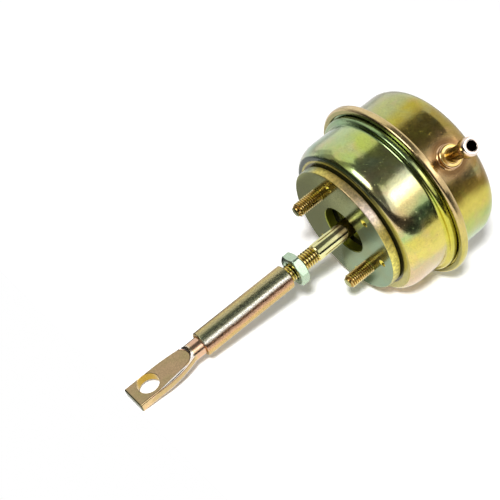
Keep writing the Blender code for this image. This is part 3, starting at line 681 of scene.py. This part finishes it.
# Front can
bush_hole = 6.8 * MM
bend = 1.2 * MM
path = [(CAN_FACE, bush_hole)]
path += arc((CAN_FACE - CAN_CORNER[0], CAN_RADIUS - CAN_CORNER[1]), CAN_CORNER, 0, 90, 40)
path += arc((STEP_FOOT, CAN_RADIUS + bend), (bend, bend), 270, 180, 8)
path += arc((STEP_FOOT - 2 * bend, CAN_RADIUS + bend), (bend, bend), 0, 90, 8)[1:]
path += [(FLANGE, STEP_RADIUS), (FLANGE, CLAMPED_RADIUS)]
section = sheet_section(subdivided(path, 1.5 * MM), SHEET)
piece("front_can_shell", lathe(section, 240), "housing", "front_can", front_zinc)


# Rear can, open under the nipple
back = -30.1 * MM
bend = 1.0 * MM
bead = 1.2 * MM
path = [(REAR_END, 0)]
path += arc((REAR_END + REAR_CORNER, CAN_RADIUS - REAR_CORNER), (REAR_CORNER, REAR_CORNER), 180, 90, 30)
path += arc((back - bend, CAN_RADIUS + bend), (bend, bend), 270, 360, 8)
path += arc((back + bead, SEAM_RADIUS - bead), (bead, bead), 180, 90, 10)
path += arc((SEAM_LIP - bead, SEAM_RADIUS - bead), (bead, bead), 90, 0, 10)
path += [(SEAM_LIP, STEP_RADIUS + 0.85 * MM), (SEAM_LIP - 0.25 * MM, STEP_RADIUS + 0.55 * MM)]
section = sheet_section(subdivided(path, 0.9 * MM), -SHEET)
bm = lathe(section, 288)
nipple_way = around(1, NIPPLE_ANGLE)
under = []
for face in bm.faces:
    away = face.calc_center_median() - NIPPLE_FOOT
    along = away.dot(nipple_way)
    if -2 * MM < along < 1 * MM and (away - nipple_way * along).length < NIPPLE_STEM - 0.2 * MM:
        under.append(face)
bmesh.ops.delete(bm, geom=under, context="FACES")
piece("rear_can_shell", bm, "housing", "rear_can", rear_zinc)


# Mounting plate: fine rings and steps, so that the weld dimples are in its mesh. The pit in front
# and the nub behind each have a radius, a depth and a steepness
PIT = (1.45 * MM, 0.85 * MM, 1.4)
NUB = (2.0 * MM, 0.68 * MM, 1.8)


def dimple(x, r, a):
    """Sinks a pit into the front face at each weld, and raises a nub behind it."""
    if -PLATE_THICKNESS + 1 * MM < x < -1 * MM:
        return x, r
    for angle in DIMPLE_ANGLES:
        away = (around(r, a) - around(DIMPLE_CIRCLE, angle)).length
        if away < NUB[0] + 0.2 * MM:
            radius, depth, steepness = PIT if x > -1 * MM else NUB
            dome = max(0.0, 1 - (away / radius) ** 2)
            return x - depth * min(1, dome * steepness), r
    return x, r


edge = 0.35 * MM
inner, outer = PLATE_HOLE + edge, PLATE_RADIUS - edge
section = [(0, inner + (outer - inner) * k / 70) for k in range(71)]
section += arc((-edge, PLATE_RADIUS - edge), (edge, edge), 0, 90, 4)[1:]
section = section[:-1] + [(-edge - 0.9 * MM * k, PLATE_RADIUS) for k in range(4)]
section += [(-PLATE_THICKNESS + edge, PLATE_RADIUS - 0.05 * MM)]
section += [(-PLATE_THICKNESS, outer - (outer - PLATE_HOLE) * k / 50) for k in range(51)]
section += [(-edge, PLATE_HOLE)]
bm = lathe(section, 450, dimple)
piece("mounting_plate_disc", bm, "housing", "mounting_plate", plate_zinc)


# Studs with rolled threads
head, head_face = 4.4 * MM, -2.6 * MM
start, end = -0.4 * MM, STUD_LENGTH - 0.6 * MM
before = [(-PLATE_THICKNESS, 0), (-PLATE_THICKNESS, head), (head_face, head), (head_face, STUD_CREST)]
before += [(start, STUD_CREST)]
thread = (start, end, STUD_CREST, STUD_ROOT, STUD_PITCH, STUD_CREST, STUD_ROOT - 0.1 * MM)
after = [(end + 0.35 * MM, 2.2 * MM), (end + 0.52 * MM, 2.05 * MM)]
after += [(STUD_LENGTH, 1.9 * MM), (STUD_LENGTH, 0)]
for name, place, zinc in zip(("stud_upper", "stud_lower"), stud_places, stud_zincs):
    bm = threaded_bar(before, thread, after)
    bmesh.ops.translate(bm, verts=bm.verts, vec=place)
    piece(name + "_threaded", bm, "housing", name, zinc, 50)


# Hose nipple, brazed to the wall, whose curve the foot of its fillet follows
def seated(x, r, a):
    drop = math.sqrt(CAN_RADIUS**2 - (r * math.sin(a)) ** 2) - CAN_RADIUS
    return x + drop * min(max((0.5 * MM - x) / (0.5 * MM), 0), 1), r


start, shoulder = -2.4 * MM, 1.3 * MM
section = [(start, NIPPLE_BORE), (start, NIPPLE_STEM), (-0.9 * MM, NIPPLE_STEM), (-0.35 * MM, 5.6 * MM)]
section += [(0.02 * MM, 5.55 * MM), (0.16 * MM, 5.25 * MM), (0.34 * MM, 5.05 * MM), (0.55 * MM, 4.95 * MM)]
section += arc((shoulder, 4.2 * MM), (NIPPLE_COLLAR - shoulder, 1.0 * MM), 132, 0, 14)
section += arc((NIPPLE_COLLAR + 0.55 * MM, NIPPLE_STEM + 0.55 * MM), (0.55 * MM, 0.55 * MM), 180, 270, 6)
section += [(NIPPLE_BARB, NIPPLE_STEM)]
section += arc((NIPPLE_BARB + 1.3 * MM, NIPPLE_STEM), (1.3 * MM, 1.2 * MM), 180, 90, 10)[1:]
section += arc((NIPPLE_LENGTH - 3.2 * MM, NIPPLE_MOUTH), (3.2 * MM, 0.8 * MM), 90, 6, 14)
section += [(NIPPLE_LENGTH, NIPPLE_MOUTH), (NIPPLE_LENGTH, NIPPLE_BORE + 0.2 * MM)]
section += [(NIPPLE_LENGTH - 0.15 * MM, NIPPLE_BORE)]
bm = lathe(section, 96, seated)
stand = Matrix.Translation(NIPPLE_FOOT) @ nipple_way.to_track_quat("X", "Z").to_matrix().to_4x4()
bmesh.ops.transform(bm, matrix=stand, verts=bm.verts)
piece("hose_nipple_turned", bm, "housing", "hose_nipple", nipple_zinc, 50)


# Guide bush and the washer over its seal, fine enough for the light that falls in at the plate's hole
outer, bore, recess = 6.5 * MM, 4.0 * MM, (-7.8 * MM, 5.9 * MM)
collar, end = (-6.1 * MM, -7.7 * MM, 9.0 * MM), -13.5 * MM
section = [(CAN_FACE, recess[1]), (CAN_FACE, outer - 0.1 * MM), (CAN_FACE - 0.1 * MM, outer)]
section += [(collar[0], outer), (collar[0], collar[2]), (collar[1], collar[2]), (collar[1], outer)]
section += [(end, outer), (end, bore), (recess[0], bore), recess]
piece("guide_bush_turned", lathe(section, 96), "housing", "guide_bush", olive_zinc)
inner, outer, thick, soft = 4.15 * MM, 5.6 * MM, 0.6 * MM, 0.1 * MM
section = [(CAN_FACE - thick, inner), (CAN_FACE - thick, outer), (CAN_FACE - soft, outer)]
section += [(CAN_FACE, outer - soft), (CAN_FACE, inner + soft), (CAN_FACE - soft, inner)]
piece("seal_washer_stamped", lathe(section, 96), "housing", "seal_washer", olive_zinc)


# Rod: riveted tail, smooth shank and thread
rivet, rivet_radius = -51.6 * MM, 5.5 * MM
shoulder, tail, end = -46.4 * MM, 3.0 * MM, 54.6 * MM
before = [(rivet - 1.4 * MM, 0), (rivet - 1.4 * MM, rivet_radius - 0.9 * MM)]
before += [(rivet - 0.8 * MM, rivet_radius), (rivet, rivet_radius)]
before += [(rivet, tail), (shoulder, tail), (shoulder, ROD_RADIUS)]
before += [(ROD_THREAD - 0.2 * MM, ROD_RADIUS), (ROD_THREAD, ROD_CREST)]
thread = (ROD_THREAD, end, ROD_CREST, ROD_ROOT, ROD_PITCH, ROD_CREST, 3.0 * MM)
bm = threaded_bar(before, thread, [(end + 0.8 * MM, 2.9 * MM), (end + 0.8 * MM, 0)], 72)
piece("rod_threaded", bm, "rod_assembly", "actuator_rod", rod_zinc, 50)


# Lock nut, with softened corners between its flats
def hexagon(flats, angle):
    """The hexagon's radius at this angle from the middle of a flat."""
    step = math.radians(60)
    local = (angle + step / 2) % step - step / 2
    return min(flats / 2 / math.cos(local), flats / math.sqrt(3) * 0.972)


start, end, flats = NUT
rim = flats / 2 * 0.97
soft = 0.12 * MM
columns = []
bm = bmesh.new()
for k in range(180):
    a = 2 * math.pi * k / 180
    r = hexagon(flats, a - math.radians(45))
    drop = (r - rim) * math.tan(math.radians(30))
    half = [(0.5 * MM, TAPPED_BORE), (0, 4.5 * MM), (0, rim - soft), (0.03 * MM, rim)]
    half += [(drop, r - soft * 0.4), (drop + soft, r)]
    section = [(start + x, p) for x, p in half] + [(end - x, p) for x, p in half[::-1]]
    columns.append([bm.verts.new((x, p * math.cos(a), p * math.sin(a))) for x, p in section])
skin(bm, columns, closed=True)
piece("lock_nut_hexagon", bm, "nut", "lock_nut", nut_zinc, 18)


# Adjuster sleeve
start, end, outer = SLEEVE
edge, mouth = 0.5 * MM, 4.7 * MM
section = [(start + 0.6 * MM, TAPPED_BORE), (start, mouth)]
section += arc((start + edge, outer - edge), (edge, edge), 180, 90, 6)
section += arc((end - edge, outer - edge), (edge, edge), 90, 0, 6)
section += [(end, mouth), (end - 0.6 * MM, TAPPED_BORE)]
bm = lathe(subdivided(section, 3 * MM), 128)
piece("sleeve_tube", bm, "rod_end_assembly", "adjuster_sleeve", sleeve_zinc)


# Rod end: round bar spread into an oval, and pressed flat above and below by half-oval jaws
def jaw_height(x, y):
    """How high the jaw leaves the metal at this place: the flat, then the round at the jaw's edge."""
    if x >= JAW_X:
        out = (abs(y - JAW_Y) - JAW_HALF_WIDTH - JAW_SPREAD * (x - JAW_X)) / JAW_WALL
    else:
        low, high = -3.2, 9.0
        for _ in range(24):
            out = (low + high) / 2
            long, wide = JAW_NOSE + JAW_WALL * out, JAW_HALF_WIDTH + JAW_WALL * out
            level = ((JAW_X - x) / long) ** 2 + ((y - JAW_Y) / wide) ** 2
            low, high = (low, out) if level < 1 else (out, high)
    if out <= 0:
        return FLAT
    if out >= 1:
        return 20 * MM
    return FLAT + JAW_EDGE * (1 - math.sqrt(1 - out**2))


def softer(a, b, reach):
    """The lower of two heights, blended within reach of where they cross."""
    share = max(reach - abs(a - b), 0) / reach
    return min(a, b) - share * share * reach / 4


def blade_ring(bm, x, shrink=0.0):
    """One ring of the rod end at x: a circle that spreads into an oval, cut down by the jaws."""
    part = min(max((x - BLADE[0] - JAW_EDGE / 2) / (16 * MM), 0.0), 1.0)
    spread = 1 - (1 - part) ** 2
    middle = BLADE_OFFSET * spread
    width = ROD_RADIUS + (BLADE_HALF_WIDTH - ROD_RADIUS) * spread - shrink
    height = ROD_RADIUS + (BLADE_HALF_HEIGHT - ROD_RADIUS) * spread - shrink
    ring = []
    for k in range(176):
        a = 2 * math.pi * (k + 0.5) / 176
        y, z = middle + width * math.cos(a), height * math.sin(a)
        if x > BLADE[0] - 1 * MM:
            z = math.copysign(softer(abs(z), jaw_height(x, y) - shrink, 0.5 * MM), z)
        ring.append(bm.verts.new((x, y, z)))
    return ring


shank, neck, edge = 62.2 * MM, 79 * MM, 0.5 * MM
stations = [(shank, 0.8 * MM), (shank + 0.8 * MM, 0.0), (76 * MM, 0.0), (neck, 0.0)]
stations += [(neck + 0.2 * MM * k, 0.0) for k in range(1, 77)]
stations += [(neck + 15.6 * MM + 0.8 * MM * k, 0.0) for k in range(20)]
for t in (0.0, 0.5, 1.0, 1.57):
    stations.append((BLADE[1] - edge * (1 - math.sin(t)), edge * (1 - math.cos(t))))
bm = bmesh.new()
skin(bm, [blade_ring(bm, x, shrink) for x, shrink in stations])
blade = piece("rod_end_blade", bm, "rod_end_assembly", "rod_end", blade_zinc, 40)
reach, flare, straight = 6 * MM, 8.75 * MM, 1.95 * MM
profile = [(-reach, 0), (-reach, flare), (-straight, EYE_RADIUS)]
profile += [(straight, EYE_RADIUS), (reach, flare), (reach, 0)]
bm = lathe(profile, 128)
bmesh.ops.remove_doubles(bm, verts=bm.verts, dist=1e-7)
stand = Matrix.Translation((EYE_X, 0, 0)) @ Matrix.Rotation(math.radians(-90), 4, "Y")
bmesh.ops.transform(bm, matrix=stand, verts=bm.verts)
bmesh.ops.recalc_face_normals(bm, faces=bm.faces)
mesh = bpy.data.meshes.new("eye_cutter")
bm.to_mesh(mesh)
bm.free()
cutter = added("eye_cutter", mesh)
modifier = blade.modifiers.new("eye", "BOOLEAN")
modifier.object, modifier.solver, modifier.operation = cutter, "EXACT", "DIFFERENCE"
bpy.context.view_layer.update()
cut = bpy.data.meshes.new_from_object(blade.evaluated_get(bpy.context.evaluated_depsgraph_get()))
blade.modifiers.clear()
blade.data = cut
bpy.data.objects.remove(cutter)
cut.shade_smooth()
cut.set_sharp_from_angle(angle=math.radians(40))


# Return spring: a fine round wire, on a mesh of its own
low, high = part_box("return_spring")
wire, coil = 1.4 * MM, 21.0 * MM
start, end = low.x + wire, high.x - wire
dead, active, dead_pitch = 1, 4.5, 3.1 * MM
turns = 2 * dead + active
pitch = (end - start - 2 * dead * dead_pitch) / active
bm = bmesh.new()
rings = []
count = round(turns * 60)
for k in range(count + 1):
    t = turns * k / count
    first, last = min(t, dead), max(t - dead - active, 0)
    x = start + (first + last) * dead_pitch + (t - first - last) * pitch
    ring = []
    for j in range(12):
        a = 2 * math.pi * j / 12
        spot = around(coil + wire * math.cos(a), 2 * math.pi * t, x + wire * math.sin(a))
        ring.append(bm.verts.new(spot))
    rings.append(ring)
skin(bm, rings)
spring = piece("return_spring_wire", bm, "housing", "return_spring", spring_steel)
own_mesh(spring)


# Diaphragm: clamped rim, one convolution, and a hat
fabric = 0.5 * MM
rim_face, crown = FLANGE - SHEET - 0.2 * MM, -49.5 * MM
wall, hat, hole = STEP_RADIUS - SHEET - 0.4 * MM, 30.1 * MM, 3.3 * MM
half = (wall - hat) / 2
bend, corner = 0.4 * MM, 2.9 * MM
path = [(rim_face, CLAMPED_RADIUS)]
path += arc((rim_face + bend, wall + bend), (bend, bend), 180, 270, 4)
path += arc((rim_face + 2 * bend, wall - half), (half, half), 90, -90, 24)
path += arc((crown + corner, hat - corner), (corner, corner), 90, 180, 10)
path += [(crown, hole)]
section = sheet_section(subdivided(path, 1.2 * MM), -fabric)
moulded = piece("diaphragm_moulded", lathe(section, 120), None, "diaphragm", rubber)
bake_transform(moulded)


# CAD nodes that stay as they are
for name, material in (
    ("piston_cup", spring_steel),
    ("diaphragm_retainer", spring_steel),
    ("shoulder_washer", spring_steel),
    ("spring_seat", spring_steel),
    ("rod_seal", seal),
):
    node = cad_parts.get(name)
    if node:
        node.data.materials.clear()
        node.data.materials.append(material)


# Camera, at the photograph's viewing angle
camera = added("camera", bpy.data.cameras.new("camera"))
camera.data.sensor_width = 36
camera.data.lens = 89.58
camera.data.clip_start, camera.data.clip_end = 0.01, 50
right = Vector((-0.7532, 0.6200, -0.2195))
above = Vector((-0.5916, -0.4927, 0.6380))
behind = Vector((0.2875, 0.6105, 0.7380))
turned = Matrix((right, above, behind)).transposed().to_4x4()
camera.matrix_world = Matrix.Translation(CAMERA_PLACE) @ turned
bpy.context.scene.camera = camera


# Stage: directions are given as seen from the object, with azimuth from the camera's side to its right
near_side = (behind - UP * behind.dot(UP)).normalized()
right_side = UP.cross(near_side)
HEIGHT = -FLOOR_POINT.dot(UP)


def towards(azimuth, elevation):
    a, e = math.radians(azimuth), math.radians(elevation)
    level = near_side * math.cos(a) + right_side * math.sin(a)
    return level * math.cos(e) + UP * math.sin(e)


def softbox(name, azimuth, elevation, distance, width, height, radiance):
    """A rectangular lamp of this radiance that faces the object."""
    data = bpy.data.lights.new(name, "AREA")
    data.shape = "RECTANGLE"
    data.size, data.size_y = width, height
    data.energy = radiance * math.pi * width * height
    lamp = added(name, data)
    back = towards(azimuth, elevation)
    level = UP.cross(back).normalized()
    turned = Matrix((level, back.cross(level), back)).transposed().to_4x4()
    lamp.matrix_world = Matrix.Translation(back * distance) @ turned
    return lamp


for place in (
    ("left_softbox", -55, 42, 1.0, 0.50, 0.36, 6.0),
    ("right_softbox", 58, 46, 1.0, 0.95, 0.36, 1.0),
    ("right_middle", 58, 48, 0.98, 0.62, 0.20, 0.9),
):
    softbox(*place).visible_diffuse = False
softbox("key", -11, 49, 1.2, 0.15, 0.15, 156.0).visible_glossy = False


def blank(name):
    """A material with no shader yet, and its node tree."""
    made = bpy.data.materials.new(name)
    made.use_nodes = True
    made.node_tree.nodes.remove(made.node_tree.nodes["Principled BSDF"])
    return made, made.node_tree


def glow(level):
    """A material that only gives this level of light."""
    made, tree = blank(f"card_{round(level * 100)}")
    emission = tree.nodes.new("ShaderNodeEmission")
    emission.inputs["Color"].default_value = (level, level, level, 1)
    tree.links.new(emission.outputs[0], tree.nodes["Material Output"].inputs["Surface"])
    return made


def card(name, rows, level):
    """A grid of points as a card that only reflections show."""
    wide = len(rows[0])
    faces = []
    for i in range(len(rows) - 1):
        for j in range(wide - 1):
            k = i * wide + j
            faces.append((k, k + 1, k + wide + 1, k + wide))
    mesh = bpy.data.meshes.new(name)
    mesh.from_pydata([p for row in rows for p in row], [], faces)
    mesh.materials.append(glow(level))
    obj = added(name, mesh)
    obj.visible_camera = obj.visible_diffuse = obj.visible_shadow = obj.visible_transmission = False


def steps(first, last, size=6):
    """Degrees from first to last, in steps of about this size."""
    count = max(1, round(abs(last - first) / size))
    return [first + (last - first) * k / count for k in range(count + 1)]


def sky(name, azimuths, elevations, level, radius=1.7):
    """A card on a sphere round the object, between these azimuths and elevations."""
    rows = [[towards(a, e) * radius for a in steps(*azimuths)] for e in steps(*elevations)]
    card(name, rows, level)


def ground(name, edge, level, reach=1.45):
    """A card just above the floor, from a near edge of {azimuth: distance} outwards."""
    foot = UP * (0.6 * MM - HEIGHT)
    near = [foot + towards(a, 0) * d for a, d in edge.items()]
    far = [foot + towards(a, 0) * reach for a in edge]
    card(name, [near, far], level)


sky("dark_front", (-104, 66), (-2, 20), 0.03)
sky("front_top", (-46, 4), (21, 55), 0.12)
sky("front_top_left", (-104, -84), (21, 58), 0.28)
sky("grey_left", (-122, -104), (-2, 30), 0.36)
sky("grey_back_left", (-140, -122), (-2, 30), 0.6)
sky("dark_ceiling", (-180, 180), (65, 90), 0.13, 1.69)
sky("dark_ceiling_left", (-104, 4), (55, 65), 0.13, 1.69)

# The distance to a ground card's near edge, by azimuth
near_edge = {
    -110: 0.036, -100: 0.034, -90: 0.038, -80: 0.048, -72: 0.062, -64: 0.084, -58: 0.104,
    -52: 0.122, -45: 0.128, -36: 0.146, -28: 0.172, -20: 0.215, -12: 0.27, -4: 0.34, 10: 0.42,
    30: 0.42, 50: 0.42, 66: 0.42,
}
left_edge = {-122: 0.060, -116: 0.045, -110: 0.036}
plate_edge = {-190: 0.011, -176: 0.011, -162: 0.013, -148: 0.016, -134: 0.020, -124: 0.026}
ground("dark_ground", near_edge, 0.03)
ground("grey_ground", left_edge, 0.3)
ground("under_plate", plate_edge, 0.5, 0.062)

# The paper ends just past the rod end's tip, so that the rod can slide out over its edge
floor_mesh = bpy.data.meshes.new("floor")
forward = Vector((UP.z, 0, -UP.x))
front = (BLADE[1] + 0.4 * MM - FLOOR_POINT.x) / forward.x
ends = ((-1.5, -1.5), (front, -1.5), (front, 1.5), (-1.5, 1.5))
corners = [FLOOR_POINT + forward * a + Vector((0, b, 0)) for a, b in ends]
floor_mesh.from_pydata(corners, [], [(0, 1, 2, 3)])
floor = added("floor", floor_mesh)
if floor_mesh.polygons[0].normal.dot(UP) < 0:
    floor_mesh.flip_normals()

# The paper is plain white to what it lights, brighter to reflections and overexposed to the camera.
# From below it can't be seen
paper, tree = blank("paper")
rays = tree.nodes.new("ShaderNodeLightPath")


def weighted(tree, output, low, high):
    """A level that goes from low to high as this output goes from 0 to 1."""
    node = tree.nodes.new("ShaderNodeMapRange")
    tree.links.new(output, node.inputs["Value"])
    node.inputs["To Min"].default_value = low
    node.inputs["To Max"].default_value = high
    return node.outputs["Result"]


def diffuse(ray, low, high):
    node = tree.nodes.new("ShaderNodeBsdfDiffuse")
    tree.links.new(weighted(tree, rays.outputs[ray], low, high), node.inputs["Color"])
    return node.outputs[0]


def summed(a, b):
    node = tree.nodes.new("ShaderNodeAddShader")
    tree.links.new(a, node.inputs[0])
    tree.links.new(b, node.inputs[1])
    return node.outputs[0]


white = diffuse("Is Camera Ray", 0.9, 0.95)
over = diffuse("Is Camera Ray", 0.0, 0.7)
shiny = diffuse("Is Glossy Ray", 0.0, 0.45)
both = summed(summed(white, over), shiny)
clear = tree.nodes.new("ShaderNodeBsdfTransparent")
geometry = tree.nodes.new("ShaderNodeNewGeometry")
faces = tree.nodes.new("ShaderNodeMixShader")
tree.links.new(geometry.outputs["Backfacing"], faces.inputs["Fac"])
tree.links.new(both, faces.inputs[1])
tree.links.new(clear.outputs[0], faces.inputs[2])
tree.links.new(faces.outputs[0], tree.nodes["Material Output"].inputs["Surface"])
floor_mesh.materials.append(paper)

# The world is white to the camera and in reflections, and dim to what it lights
world = bpy.data.worlds.new("studio")
bpy.context.scene.world = world
world.use_nodes = True
air = world.node_tree
shell = air.nodes["Background"]
shell.inputs["Color"].default_value = (1, 1, 1, 1)
air_rays = air.nodes.new("ShaderNodeLightPath")
seen = air_rays.outputs["Is Camera Ray"]
for output in ("Is Glossy Ray", "Is Transmission Ray"):
    node = air.nodes.new("ShaderNodeMath")
    node.operation = "MAXIMUM"
    air.links.new(seen, node.inputs[0])
    air.links.new(air_rays.outputs[output], node.inputs[1])
    seen = node.outputs[0]
air.links.new(weighted(air, seen, 0.25, 1.0), shell.inputs["Strength"])

bpy.context.scene.view_settings.view_transform = "Standard"
